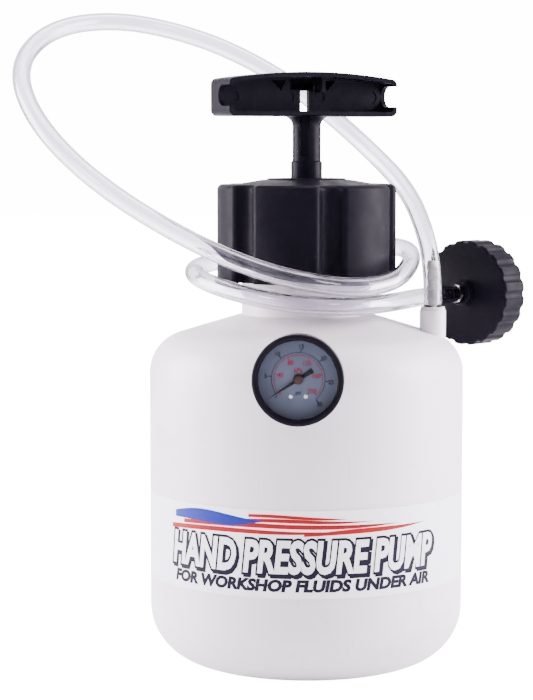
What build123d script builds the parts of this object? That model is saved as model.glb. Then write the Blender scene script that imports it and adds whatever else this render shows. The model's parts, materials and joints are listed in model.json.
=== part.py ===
from build123d import *
import math
import os

os.makedirs("parts", exist_ok=True)

# Hand-pumped pressure tank. Origin on the tank's axis at its base, +Z up, -Y is the gauge side.
# Driving dimensions, in millimetres and degrees.

# Tank
TANK_R = 82.0
TANK_WALL = 2.5
TANK_BASE_CORNER = 30.0
TANK_FOOT_R = 46.0
TANK_PUSH_UP = 3.5
TANK_PAD_R = 18.0
SHOULDER_CORNER_Z = 167.7
SHOULDER_CORNER = 21.0
NECK_BASE_Z = 182.4
NECK_ROOT_R = 35.5
NECK_CREST_R = 37.0
NECK_BORE_R = 31.0
NECK_WAIST_R = 33.7
RIM_Z = 240.0
LABEL_BOTTOM_Z = 47.5
LABEL_TOP_Z = 91.5
LABEL_THICK = 0.25
LABEL_HALF_TURN = 78.0

# Pump head
COLLAR_R = 46.6
COLLAR_BORE_R = 38.0
COLLAR_BOTTOM_Z = 200.0
COLLAR_TOP_Z = 250.0
COLLAR_PLATE_Z = 245.1
COLLAR_HOLE_R = 21.2
GROOVES = 6
GROOVE_R = 6.5
GROOVE_ROOT_R = 41.2
GROOVE_AZIMUTH = -72.0
GASKET_THICK = 2.0
BARREL_BORE_R = 17.5
BARREL_R = 20.0
BARREL_BOTTOM_Z = 90.0
BARREL_FLANGE_R = 36.5
ROD_R = 8.1
ROD_BORE_R = 6.0
ROD_TOP_Z = 262.0
ROD_BOTTOM_Z = 138.0
PISTON_BOTTOM_Z = 124.0
RUNNING_FIT = 0.1

# T-handle
HANDLE_TURN = 30.0
HANDLE_HALF = 49.0
HANDLE_FRONT = 9.5
HANDLE_BACK = -13.5
HANDLE_BOTTOM_Z = 285.0
HANDLE_END_Z = 304.0
HANDLE_CROWN_Z = 307.8
HANDLE_FLANGE = 2.4
WEB_FRONT = -4.0
WEB_BACK = -6.6
NOTCH_R = 5.4
NOTCH_Z = 295.4
NOTCH_REACH = HANDLE_HALF * 1.1
NOTCH_MOUTH = 20
BACK_COVER = 1.6
STEM_R = 7.3
FLUTE_TURN = -94.0
PIN_Z = 256.0

# Gauge, its axis along -Y at this height; distances are measured forward from the tank's axis
GAUGE_Z = 159.0
GAUGE_PORT_FACE = 85.5
GAUGE_PORT_R = 12.0
GAUGE_PAD = 68.0
CASE_R = 20.9
CASE_BACK = 94.0
CASE_FRONT = 110.0
BEZEL_R = 22.1
BEZEL_FRONT = 112.6
WINDOW_R = 19.0
DIAL_FACE = 104.6
NEEDLE_ZERO = 213.0
NEEDLE_TIP = 16.0
GAUGE_THREAD_R = 5.0

# Shoulder outlet
OUTLET_X = 66.0
OUTLET_Y = -3.0
OUTLET_BOSS_R = 6.8
OUTLET_TOP_Z = 184.6
OUTLET_PAD_Z = 164.0

# Reservoir adapter: centre of its outer face, and the way that the face looks
CAP_X = 83.8
CAP_Y = 42.0
CAP_Z = 190.6
CAP_AZIMUTH = 230.0
CAP_R = 28.3
CAP_DEPTH = 16.0
CAP_PLATE = 3.0
CAP_THREAD_R = 22.5
CAP_GROOVE_R = 23.4
CAP_GROOVE = 3.0
ADAPTER_SHANK_R = 4.9
ADAPTER_SHANK_END = -5.8
ADAPTER_NUT = 2.6
SCALLOPS = 20
SCALLOP_R = 3.6
HUB_R = 6.8
HUB_LENGTH = 4.5

# Hose
HOSE_R = 4.75
HOSE_BORE_R = 3.2
BARB_R = 3.15
HOSE_START_Z = 186.4


def hexagon_radius(across_flats):
    """Corner radius of a hexagon from its size across the flats."""
    return across_flats / math.sqrt(3)


def gauge_plane(forward):
    """Plane across the gauge's axis, facing out of the dial."""
    return Plane(origin=(0, -forward, GAUGE_Z), x_dir=(1, 0, 0), z_dir=(0, -1, 0))


def handle_plane(forward):
    """Upright plane along the T-handle, facing out of its open front."""
    along = (math.cos(math.radians(HANDLE_TURN)), math.sin(math.radians(HANDLE_TURN)), 0)
    out = (along[1], -along[0], 0)
    origin = (out[0] * forward, out[1] * forward, 0)
    return Plane(origin=origin, x_dir=along, z_dir=out)


GAUGE_AXIS = Axis((0, 0, GAUGE_Z), (0, 1, 0))
GAUGE_SECTION = Plane.XY.offset(GAUGE_Z)
OUTLET_AXIS = Axis((OUTLET_X, OUTLET_Y, 0), (0, 0, 1))
OUTLET_SECTION = Plane(origin=(OUTLET_X, OUTLET_Y, 0), x_dir=(1, 0, 0), z_dir=(0, -1, 0))
CAP_CENTRE = Vector(CAP_X, CAP_Y, CAP_Z)
CAP_OUT = Vector(math.cos(math.radians(CAP_AZIMUTH)), math.sin(math.radians(CAP_AZIMUTH)), 0)
CAP_AXIS = Axis(CAP_CENTRE, CAP_OUT)
CAP_SECTION = Plane(origin=CAP_CENTRE, x_dir=(0, 0, 1), z_dir=Vector(0, 0, 1).cross(CAP_OUT))


def cap_plane(out):
    """Plane across the adapter's axis, that far out of its face."""
    return Plane(origin=CAP_CENTRE + CAP_OUT * out, x_dir=(0, 0, 1), z_dir=CAP_OUT)


def barb_outline(bore, root, crest, start, end, teeth):
    """Half section of a hose barb, as points from its open end back to its start."""
    pitch = (end - start - 3) / teeth
    points = [(bore, end), (root, end)]
    for tooth in range(teeth):
        top = end - tooth * pitch
        points.append((crest, top - pitch * 0.8))
        points.append((root, top - pitch))
    points.append((root, start))
    return points


# ---- Tank ----

with BuildPart() as tank:
    with BuildSketch(Plane.XZ):
        with BuildLine():
            FilletPolyline(
                (TANK_FOOT_R, 0),
                (TANK_R, 0),
                (TANK_R, SHOULDER_CORNER_Z),
                (NECK_WAIST_R, NECK_BASE_Z),
                radius=[TANK_BASE_CORNER, SHOULDER_CORNER],
            )
            Polyline(
                (NECK_WAIST_R, NECK_BASE_Z),
                (NECK_WAIST_R, 202),
                (NECK_ROOT_R, 204),
                (NECK_ROOT_R, RIM_Z),
                (0, RIM_Z),
                (0, 0),
                (TANK_PAD_R, 0),
                (TANK_PAD_R + 4, TANK_PUSH_UP),
                (TANK_FOOT_R - 7, TANK_PUSH_UP),
                (TANK_FOOT_R, 0),
            )
        make_face()
    revolve(axis=Axis.Z)
    # Pads for the gauge and the outlet stand inside and outside the wall.
    with BuildSketch(gauge_plane(GAUGE_PAD)):
        Circle(GAUGE_PORT_R)
    extrude(amount=GAUGE_PORT_FACE - GAUGE_PAD)
    with BuildSketch(Plane.XY.offset(OUTLET_PAD_Z)):
        with Locations((OUTLET_X, OUTLET_Y)):
            Circle(OUTLET_BOSS_R)
    extrude(amount=OUTLET_TOP_Z - OUTLET_PAD_Z)
    # Thread ridges on the neck.
    with BuildSketch(Plane.XZ):
        for ridge in range(3):
            with Locations((0, 212 + 8 * ridge)):
                Polygon(
                    (NECK_ROOT_R - 0.5, -2.2),
                    (NECK_ROOT_R, -2.2),
                    (NECK_CREST_R, -1),
                    (NECK_CREST_R, 1),
                    (NECK_ROOT_R, 2.2),
                    (NECK_ROOT_R - 0.5, 2.2),
                    align=None,
                )
    revolve(axis=Axis.Z)
    # The chamber, cut so that the pads keep their depth.
    with BuildSketch(Plane.XZ):
        with BuildLine():
            FilletPolyline(
                (TANK_FOOT_R, TANK_WALL),
                (TANK_R - TANK_WALL, TANK_WALL),
                (TANK_R - TANK_WALL, SHOULDER_CORNER_Z - TANK_WALL),
                (NECK_BORE_R, NECK_BASE_Z - TANK_WALL),
                radius=[TANK_BASE_CORNER - TANK_WALL, SHOULDER_CORNER - TANK_WALL],
            )
            Polyline(
                (NECK_BORE_R, NECK_BASE_Z - TANK_WALL),
                (NECK_BORE_R, RIM_Z),
                (0, RIM_Z),
                (0, TANK_PUSH_UP + TANK_WALL),
                (TANK_FOOT_R - 6, TANK_PUSH_UP + TANK_WALL),
                (TANK_FOOT_R, TANK_WALL),
            )
        make_face()
    revolve(axis=Axis.Z, mode=Mode.SUBTRACT)
    with BuildSketch(gauge_plane(GAUGE_PAD)):
        Circle(GAUGE_PORT_R)
    extrude(amount=11)
    with BuildSketch(Plane.XY.offset(OUTLET_PAD_Z)):
        with Locations((OUTLET_X, OUTLET_Y)):
            Circle(OUTLET_BOSS_R)
    extrude(amount=6)
    with BuildSketch(gauge_plane(GAUGE_PAD - 2)):
        Circle(GAUGE_THREAD_R + RUNNING_FIT)
    extrude(amount=22, mode=Mode.SUBTRACT)
    with BuildSketch(Plane.XY.offset(OUTLET_PAD_Z - 5)):
        with Locations((OUTLET_X, OUTLET_Y)):
            Circle(4.1)
    extrude(amount=30, mode=Mode.SUBTRACT)

tank.part.label = "tank"
export_step(tank.part, "parts/tank.step")

with BuildPart() as tank_label:
    with BuildSketch(Plane.XZ.rotated((0, 0, -90 - LABEL_HALF_TURN))):
        with Locations((TANK_R + LABEL_THICK / 2, (LABEL_BOTTOM_Z + LABEL_TOP_Z) / 2)):
            Rectangle(LABEL_THICK, LABEL_TOP_Z - LABEL_BOTTOM_Z)
    revolve(axis=Axis.Z, revolution_arc=2 * LABEL_HALF_TURN)

tank_label.part.label = "tank_label"
export_step(tank_label.part, "parts/tank_label.step")

# ---- Pump head ----

with BuildPart() as pump_collar:
    with BuildSketch(Plane.XY.offset(COLLAR_BOTTOM_Z)):
        Circle(COLLAR_R)
        with PolarLocations(GROOVE_ROOT_R + GROOVE_R, GROOVES, start_angle=GROOVE_AZIMUTH):
            Circle(GROOVE_R, mode=Mode.SUBTRACT)
    extrude(amount=COLLAR_TOP_Z - COLLAR_BOTTOM_Z)
    mouth_edges = pump_collar.edges().filter_by(Axis.Z).group_by(lambda edge: round(edge.length, 1))[-1]
    fillet(mouth_edges, radius=3.4)
    fillet(pump_collar.faces().sort_by(Axis.Z)[-1].edges(), radius=3.0)
    # A low dome on the top.
    with BuildSketch(Plane.XZ):
        with BuildLine():
            Polyline(
                (COLLAR_HOLE_R, COLLAR_TOP_Z - 1),
                (COLLAR_HOLE_R, COLLAR_TOP_Z + 2.2),
                (COLLAR_HOLE_R + 2, COLLAR_TOP_Z + 2.2),
                (37, COLLAR_TOP_Z - 0.1),
                (37, COLLAR_TOP_Z - 1),
                (COLLAR_HOLE_R, COLLAR_TOP_Z - 1),
            )
        make_face()
    revolve(axis=Axis.Z)
    with BuildSketch(Plane.XY.offset(COLLAR_BOTTOM_Z)):
        Circle(COLLAR_BORE_R)
    extrude(amount=COLLAR_PLATE_Z - COLLAR_BOTTOM_Z, mode=Mode.SUBTRACT)
    with BuildSketch(Plane.XY.offset(COLLAR_BOTTOM_Z)):
        Circle(COLLAR_HOLE_R)
    extrude(amount=60, mode=Mode.SUBTRACT)

pump_collar.part.label = "pump_collar"
export_step(pump_collar.part, "parts/pump_collar.step")

with BuildPart() as neck_gasket:
    with BuildSketch(Plane.XY.offset(RIM_Z)):
        Circle(NECK_ROOT_R + 1)
        Circle(NECK_BORE_R, mode=Mode.SUBTRACT)
    extrude(amount=GASKET_THICK)

neck_gasket.part.label = "neck_gasket"
export_step(neck_gasket.part, "parts/neck_gasket.step")

with BuildPart() as pump_barrel:
    with BuildSketch(Plane.XY.offset(BARREL_BOTTOM_Z)):
        Circle(BARREL_R)
        Circle(BARREL_BORE_R, mode=Mode.SUBTRACT)
    extrude(amount=COLLAR_PLATE_Z - BARREL_BOTTOM_Z - RUNNING_FIT)
    with BuildSketch(Plane.XY.offset(RIM_Z + GASKET_THICK)):
        Circle(BARREL_FLANGE_R)
        Circle(BARREL_BORE_R, mode=Mode.SUBTRACT)
    extrude(amount=COLLAR_PLATE_Z - RUNNING_FIT - RIM_Z - GASKET_THICK)
    # Stiffening webs under the flange.
    with BuildSketch(Plane.XY.offset(RIM_Z + GASKET_THICK - 10)):
        with PolarLocations(BARREL_R + 4.2, 4, start_angle=45):
            Rectangle(9, 2)
    extrude(amount=10)

pump_barrel.part.label = "pump_barrel"
export_step(pump_barrel.part, "parts/pump_barrel.step")

with BuildPart() as rod_guide:
    with BuildSketch(Plane.XY.offset(239)):
        Circle(BARREL_BORE_R)
        Circle(ROD_R + 2.1, mode=Mode.SUBTRACT)
    extrude(amount=6)
    with BuildSketch(Plane.XY.offset(245)):
        Circle(COLLAR_HOLE_R - 0.5)
        Circle(ROD_R + 2.1, mode=Mode.SUBTRACT)
    extrude(amount=8)
    fillet(rod_guide.faces().sort_by(Axis.Z)[-1].edges().sort_by(SortBy.LENGTH)[-1], radius=1.0)

rod_guide.part.label = "rod_guide"
export_step(rod_guide.part, "parts/rod_guide.step")

with BuildPart() as rod_bush:
    with BuildSketch(Plane.XY.offset(241)):
        Circle(ROD_R + 2.1)
        Circle(ROD_R + RUNNING_FIT, mode=Mode.SUBTRACT)
    extrude(amount=11.4)

rod_bush.part.label = "rod_bush"
export_step(rod_bush.part, "parts/rod_bush.step")

with BuildPart() as barrel_foot:
    with BuildSketch(Plane.XY.offset(84)):
        Circle(BARREL_R)
    extrude(amount=6)
    with BuildSketch(Plane.XY.offset(90)):
        Circle(BARREL_BORE_R)
    extrude(amount=5)
    with BuildSketch(Plane.XY.offset(84)):
        with PolarLocations(3.6, 5):
            Circle(1.1)
    extrude(amount=11, mode=Mode.SUBTRACT)

barrel_foot.part.label = "barrel_foot"
export_step(barrel_foot.part, "parts/barrel_foot.step")

with BuildPart() as check_valve_disc:
    with BuildSketch(Plane.XY.offset(82)):
        Circle(7.0)
    extrude(amount=1.95)

check_valve_disc.part.label = "check_valve_disc"
export_step(check_valve_disc.part, "parts/check_valve_disc.step")

with BuildPart() as valve_keeper:
    with BuildSketch(Plane.XY.offset(76)):
        Circle(11.0)
    extrude(amount=8)
    with BuildSketch(Plane.XY.offset(78.5)):
        Circle(8.0)
    extrude(amount=5.5, mode=Mode.SUBTRACT)
    with BuildSketch(Plane.XY.offset(76)):
        with PolarLocations(4.6, 6):
            Circle(1.6)
    extrude(amount=3, mode=Mode.SUBTRACT)

valve_keeper.part.label = "valve_keeper"
export_step(valve_keeper.part, "parts/valve_keeper.step")

# ---- Plunger ----

with BuildPart() as plunger_rod:
    with BuildSketch(Plane.XY.offset(ROD_BOTTOM_Z)):
        Circle(ROD_R)
        Circle(ROD_BORE_R, mode=Mode.SUBTRACT)
    extrude(amount=ROD_TOP_Z - ROD_BOTTOM_Z)
    chamfer(plunger_rod.faces().sort_by(Axis.Z)[-1].edges().sort_by(SortBy.LENGTH)[-1], length=0.6)
    with BuildSketch(Plane.YZ):
        with Locations((0, PIN_Z)):
            Circle(1.6)
    extrude(amount=12, both=True, mode=Mode.SUBTRACT)

plunger_rod.part.label = "plunger_rod"
export_step(plunger_rod.part, "parts/plunger_rod.step")

with BuildPart() as t_handle:
    # Solid grip with an arched top.
    with BuildSketch(handle_plane(HANDLE_BACK)):
        with BuildLine():
            Polyline(
                (-HANDLE_HALF, HANDLE_END_Z),
                (-HANDLE_HALF, HANDLE_BOTTOM_Z),
                (HANDLE_HALF, HANDLE_BOTTOM_Z),
                (HANDLE_HALF, HANDLE_END_Z),
            )
            ThreePointArc(
                (HANDLE_HALF, HANDLE_END_Z),
                (0, HANDLE_CROWN_Z),
                (-HANDLE_HALF, HANDLE_END_Z),
            )
        grip_face = make_face()
        fillet(grip_face.vertices(), radius=3.2)
    extrude(amount=HANDLE_FRONT - HANDLE_BACK)
    rim_edges = t_handle.edges().filter_by(handle_plane(0))
    fillet(rim_edges, radius=0.8)
    # Hollows in the front and the back, with a web left between them.
    for plane, depth in (
        (handle_plane(WEB_FRONT), HANDLE_FRONT - WEB_FRONT),
        (handle_plane(HANDLE_BACK), WEB_BACK - HANDLE_BACK),
    ):
        with BuildSketch(plane):
            with BuildLine():
                hollow_half = HANDLE_HALF - HANDLE_FLANGE
                Polyline(
                    (-hollow_half, HANDLE_END_Z - 2),
                    (-hollow_half, HANDLE_BOTTOM_Z + HANDLE_FLANGE),
                    (hollow_half, HANDLE_BOTTOM_Z + HANDLE_FLANGE),
                    (hollow_half, HANDLE_END_Z - 2),
                )
                ThreePointArc(
                    (hollow_half, HANDLE_END_Z - 2),
                    (0, HANDLE_CROWN_Z - HANDLE_FLANGE),
                    (-hollow_half, HANDLE_END_Z - 2),
                )
            hollow_face = make_face()
            fillet(hollow_face.vertices(), radius=1.5)
        extrude(amount=depth, mode=Mode.SUBTRACT)
    # Round-bottomed notches in the front half of both end walls.
    along_handle = handle_plane(0).x_dir
    notch_plane = Plane(
        origin=along_handle * NOTCH_REACH,
        x_dir=handle_plane(0).z_dir,
        z_dir=-along_handle,
    )
    with BuildSketch(notch_plane):
        with Locations((WEB_FRONT + NOTCH_R, NOTCH_Z)):
            Circle(NOTCH_R)
        with Locations((WEB_FRONT + NOTCH_R + NOTCH_MOUTH / 2, NOTCH_Z)):
            Rectangle(NOTCH_MOUTH, 2 * NOTCH_R)
    extrude(amount=2 * NOTCH_REACH, mode=Mode.SUBTRACT)
    # Openings through the web into a covered pocket, a slot, and ejector marks on its face.
    with BuildSketch(handle_plane(HANDLE_BACK)):
        with Locations((0, 302.2)):
            Rectangle(54, 7.4)
    extrude(amount=BACK_COVER)
    with BuildSketch(handle_plane(WEB_BACK - 0.1)):
        Polygon((-18.6, 303.6), (-9.9, 304.0), (-12.9, 298.2), align=None)
        Polygon((19.2, 303.6), (11.2, 304.0), (14.2, 298.2), align=None)
        Polygon((-7.6, 304.6), (7.4, 304.6), (7.4, 298.8), (-7.6, 298.8), align=None)
        with Locations((0.9, 293.1)):
            Rectangle(5.1, 10.8)
    extrude(amount=3, mode=Mode.SUBTRACT)
    with BuildSketch(handle_plane(WEB_FRONT - 0.4)):
        for mark in (-40.6, -8.7, 9.3, 40.6):
            with Locations((mark, NOTCH_Z - 0.2)):
                Circle(3.4)
    extrude(amount=0.4, mode=Mode.SUBTRACT)
    # Rib beside the middle opening.
    with BuildSketch(handle_plane(WEB_FRONT)):
        with Locations((8.9, 301.6)):
            Rectangle(2.0, 8)
    extrude(amount=HANDLE_FRONT - WEB_FRONT - 7)
    # Fluted stem with a flare under the grip, and a spigot for the rod.
    with BuildSketch(Plane.XZ):
        with BuildLine():
            Polyline(
                (0, ROD_TOP_Z),
                (STEM_R, ROD_TOP_Z),
                (STEM_R, HANDLE_BOTTOM_Z - 5.4),
            )
            RadiusArc(
                (STEM_R, HANDLE_BOTTOM_Z - 5.4),
                (STEM_R + 5.2, HANDLE_BOTTOM_Z + 0.2),
                5.5,
            )
            Polyline(
                (STEM_R + 5.2, HANDLE_BOTTOM_Z + 0.2),
                (0, HANDLE_BOTTOM_Z + 0.2),
                (0, ROD_TOP_Z),
            )
        make_face()
    revolve(axis=Axis.Z)
    with BuildSketch(Plane.XY.offset(ROD_TOP_Z + 2.5)):
        with PolarLocations(STEM_R + 0.9, 2, start_angle=FLUTE_TURN):
            Circle(3.0)
    extrude(amount=HANDLE_BOTTOM_Z - 3 - ROD_TOP_Z, mode=Mode.SUBTRACT)
    with BuildSketch(Plane.XY.offset(246)):
        Circle(ROD_BORE_R - 0.02)
    extrude(amount=ROD_TOP_Z - 246)
    with BuildSketch(Plane.YZ):
        with Locations((0, PIN_Z)):
            Circle(1.6)
    extrude(amount=12, both=True, mode=Mode.SUBTRACT)

t_handle.part.label = "t_handle"
export_step(t_handle.part, "parts/t_handle.step")

with BuildPart() as handle_pin:
    with BuildSketch(Plane.YZ):
        with Locations((0, PIN_Z)):
            Circle(1.58)
    extrude(amount=7.6, both=True)

handle_pin.part.label = "handle_pin"
export_step(handle_pin.part, "parts/handle_pin.step")

with BuildPart() as piston:
    with BuildSketch(Plane.XY.offset(132)):
        Circle(BARREL_BORE_R - 0.6)
    extrude(amount=ROD_BOTTOM_Z - 132)
    with BuildSketch(Plane.XY.offset(ROD_BOTTOM_Z)):
        Circle(ROD_BORE_R - 0.02)
    extrude(amount=12)
    with BuildSketch(Plane.XY.offset(124)):
        Circle(6.0)
    extrude(amount=8)
    with BuildSketch(Plane.XY.offset(124)):
        Circle(2.5)
    extrude(amount=16, mode=Mode.SUBTRACT)

piston.part.label = "piston"
export_step(piston.part, "parts/piston.step")

with BuildPart() as piston_cup:
    with BuildSketch(Plane.XZ):
        Polygon(
            (6.1, 131.95),
            (BARREL_BORE_R - RUNNING_FIT, 131.95),
            (BARREL_BORE_R - RUNNING_FIT, 124.5),
            (BARREL_BORE_R - 2, 124.5),
            (BARREL_BORE_R - 3, 129.2),
            (6.1, 129.2),
            align=None,
        )
    revolve(axis=Axis.Z)

piston_cup.part.label = "piston_cup"
export_step(piston_cup.part, "parts/piston_cup.step")

with BuildPart() as cup_washer:
    with BuildSketch(Plane.XY.offset(122.4)):
        Circle(11)
        Circle(2.6, mode=Mode.SUBTRACT)
    extrude(amount=1.6)

cup_washer.part.label = "cup_washer"
export_step(cup_washer.part, "parts/cup_washer.step")

with BuildPart() as piston_screw:
    with BuildSketch(Plane.XY.offset(122.4)):
        Circle(2.45)
    extrude(amount=15)
    with BuildSketch(Plane.XY.offset(119.4)):
        Circle(4.5)
    extrude(amount=3)
    with BuildSketch(Plane.XY.offset(119.4)):
        Rectangle(6.4, 1)
        Rectangle(1, 6.4)
    extrude(amount=1.2, mode=Mode.SUBTRACT)

piston_screw.part.label = "piston_screw"
export_step(piston_screw.part, "parts/piston_screw.step")

# ---- Gauge ----

with BuildPart() as gauge_case:
    with BuildSketch(GAUGE_SECTION):
        Polygon(
            (6.2, -CASE_BACK),
            (CASE_R - 1.5, -CASE_BACK),
            (CASE_R, -CASE_BACK - 1.5),
            (CASE_R, -CASE_FRONT),
            (CASE_R - 1.2, -CASE_FRONT),
            (CASE_R - 1.2, -CASE_BACK - 1.6),
            (6.2, -CASE_BACK - 1.6),
            align=None,
        )
    revolve(axis=GAUGE_AXIS)

gauge_case.part.label = "gauge_case"
export_step(gauge_case.part, "parts/gauge_case.step")

with BuildPart() as gauge_bezel:
    with BuildSketch(GAUGE_SECTION):
        with BuildLine():
            Polyline(
                (CASE_R + 0.02, -CASE_FRONT),
                (CASE_R + 0.02, -CASE_FRONT + 6),
                (BEZEL_R, -CASE_FRONT + 6),
                (BEZEL_R, -BEZEL_FRONT + 1.4),
            )
            ThreePointArc(
                (BEZEL_R, -BEZEL_FRONT + 1.4),
                (BEZEL_R - 0.5, -BEZEL_FRONT + 0.35),
                (BEZEL_R - 1.6, -BEZEL_FRONT),
            )
            Polyline(
                (BEZEL_R - 1.6, -BEZEL_FRONT),
                (WINDOW_R + 0.7, -BEZEL_FRONT + 0.3),
                (WINDOW_R, -BEZEL_FRONT + 1.1),
                (WINDOW_R, -CASE_FRONT),
                (CASE_R + 0.02, -CASE_FRONT),
            )
        make_face()
    revolve(axis=GAUGE_AXIS)

gauge_bezel.part.label = "gauge_bezel"
export_step(gauge_bezel.part, "parts/gauge_bezel.step")

with BuildPart() as gauge_lens:
    with BuildSketch(gauge_plane(CASE_FRONT - 1.6)):
        Circle(CASE_R - 1.25)
    extrude(amount=1.55)

gauge_lens.part.label = "gauge_lens"
export_step(gauge_lens.part, "parts/gauge_lens.step")

with BuildPart() as gauge_dial:
    with BuildSketch(gauge_plane(DIAL_FACE - 0.6)):
        Circle(CASE_R - 1.3)
        Circle(1.2, mode=Mode.SUBTRACT)
        with GridLocations(7.2, 0, 2, 1):
            with Locations((0, -8.4)):
                Circle(0.75, mode=Mode.SUBTRACT)
    extrude(amount=0.6)

gauge_dial.part.label = "gauge_dial"
export_step(gauge_dial.part, "parts/gauge_dial.step")

with BuildPart() as dial_screws:
    with BuildSketch(gauge_plane(DIAL_FACE - 4)):
        with GridLocations(7.2, 0, 2, 1):
            with Locations((0, -8.4)):
                Circle(0.7)
    extrude(amount=4)
    with BuildSketch(gauge_plane(DIAL_FACE)):
        with GridLocations(7.2, 0, 2, 1):
            with Locations((0, -8.4)):
                Circle(1.15)
    extrude(amount=0.55)

dial_screws.part.label = "dial_screws"
export_step(dial_screws.part, "parts/dial_screws.step")

with BuildPart() as gauge_needle:
    with BuildSketch(gauge_plane(DIAL_FACE + 1.2)):
        with Locations(Rotation(0, 0, NEEDLE_ZERO)):
            Polygon(
                (-8.4, -1.1),
                (0, -0.7),
                (NEEDLE_TIP, -0.12),
                (NEEDLE_TIP, 0.12),
                (0, 0.7),
                (-8.4, 1.1),
                align=None,
            )
        Circle(2.1)
        Circle(0.72, mode=Mode.SUBTRACT)
    extrude(amount=0.45)

gauge_needle.part.label = "gauge_needle"
export_step(gauge_needle.part, "parts/gauge_needle.step")

with BuildPart() as needle_arbor:
    with BuildSketch(gauge_plane(99)):
        Circle(0.7)
    extrude(amount=DIAL_FACE + 2 - 99)
    with BuildSketch(gauge_plane(101.6)):
        Circle(1.0)
        with PolarLocations(1.3, 10):
            Circle(0.28)
        Circle(1.3)
    extrude(amount=1.0)

needle_arbor.part.label = "needle_arbor"
export_step(needle_arbor.part, "parts/needle_arbor.step")

with BuildPart() as movement_frame:
    with BuildSketch(gauge_plane(100.2)):
        with Locations((0, -3)):
            RectangleRounded(16, 15, 2)
        Circle(0.8, mode=Mode.SUBTRACT)
        with GridLocations(7.2, 0, 2, 1):
            with Locations((0, -8.4)):
                Circle(0.75, mode=Mode.SUBTRACT)
    extrude(amount=1.2)

movement_frame.part.label = "movement_frame"
export_step(movement_frame.part, "parts/movement_frame.step")

with BuildPart() as bourdon_tube:
    with BuildSketch(GAUGE_SECTION):
        with Locations((14.2, -98.4)):
            RectangleRounded(1.8, 4, 0.8)
    revolve(axis=GAUGE_AXIS, revolution_arc=250)

bourdon_tube.part.label = "bourdon_tube"
export_step(bourdon_tube.part, "parts/bourdon_tube.step")

with BuildPart() as gauge_stem:
    with BuildSketch(gauge_plane(GAUGE_PAD - 5)):
        Circle(GAUGE_THREAD_R)
    extrude(amount=GAUGE_PORT_FACE + 1 - GAUGE_PAD + 5)
    with BuildSketch(gauge_plane(GAUGE_PORT_FACE + 1)):
        RegularPolygon(hexagon_radius(14), 6)
    extrude(amount=CASE_BACK - GAUGE_PORT_FACE - 1)
    with BuildSketch(gauge_plane(CASE_BACK)):
        Circle(6.15)
    extrude(amount=2)
    with BuildSketch(gauge_plane(CASE_BACK + 2)):
        Rectangle(11, 8)
    extrude(amount=3)
    with BuildSketch(gauge_plane(GAUGE_PAD - 5)):
        Circle(1.5)
    extrude(amount=34, mode=Mode.SUBTRACT)

gauge_stem.part.label = "gauge_stem"
export_step(gauge_stem.part, "parts/gauge_stem.step")

with BuildPart() as gauge_seal:
    with BuildSketch(gauge_plane(GAUGE_PORT_FACE)):
        Circle(8.6)
        Circle(GAUGE_THREAD_R + 0.05, mode=Mode.SUBTRACT)
    extrude(amount=1)

gauge_seal.part.label = "gauge_seal"
export_step(gauge_seal.part, "parts/gauge_seal.step")

with BuildPart() as gauge_nut:
    with BuildSketch(gauge_plane(GAUGE_PAD - 4)):
        RegularPolygon(hexagon_radius(17), 6)
        Circle(GAUGE_THREAD_R + 0.03, mode=Mode.SUBTRACT)
    extrude(amount=4)

gauge_nut.part.label = "gauge_nut"
export_step(gauge_nut.part, "parts/gauge_nut.step")

# ---- Shoulder outlet ----

with BuildPart() as outlet_fitting:
    with BuildSketch(OUTLET_SECTION):
        points = barb_outline(1.7, 2.7, BARB_R, HOSE_START_Z, HOSE_START_Z + 24, 4)
        Polygon(
            *points,
            (6.2, HOSE_START_Z),
            (6.2, OUTLET_TOP_Z + 0.8),
            (4.0, OUTLET_TOP_Z + 0.8),
            (4.0, 156),
            (2.7, 156),
            (2.7, 146),
            (1.7, 146),
            align=None,
        )
    revolve(axis=OUTLET_AXIS)

outlet_fitting.part.label = "outlet_fitting"
export_step(outlet_fitting.part, "parts/outlet_fitting.step")

with BuildPart() as outlet_seal:
    with BuildSketch(Plane.XY.offset(OUTLET_TOP_Z)):
        with Locations((OUTLET_X, OUTLET_Y)):
            Circle(6.4)
            Circle(4.05, mode=Mode.SUBTRACT)
    extrude(amount=0.8)

outlet_seal.part.label = "outlet_seal"
export_step(outlet_seal.part, "parts/outlet_seal.step")

with BuildPart() as outlet_nut:
    with BuildSketch(Plane.XY.offset(OUTLET_PAD_Z - 5)):
        with Locations((OUTLET_X, OUTLET_Y)):
            RegularPolygon(hexagon_radius(13), 6)
            Circle(4.03, mode=Mode.SUBTRACT)
    extrude(amount=5)

outlet_nut.part.label = "outlet_nut"
export_step(outlet_nut.part, "parts/outlet_nut.step")

with BuildPart() as dip_tube:
    with BuildSketch(Plane.XY.offset(12)):
        with Locations((OUTLET_X, OUTLET_Y)):
            Circle(4.0)
            Circle(2.75, mode=Mode.SUBTRACT)
    extrude(amount=144)
    # Two notches let fluid in at the foot.
    with BuildSketch(Plane.XZ.offset(-OUTLET_Y)):
        with Locations((OUTLET_X, 12)):
            Rectangle(3, 5)
    extrude(amount=10, both=True, mode=Mode.SUBTRACT)

dip_tube.part.label = "dip_tube"
export_step(dip_tube.part, "parts/dip_tube.step")

# ---- Reservoir adapter ----

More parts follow.
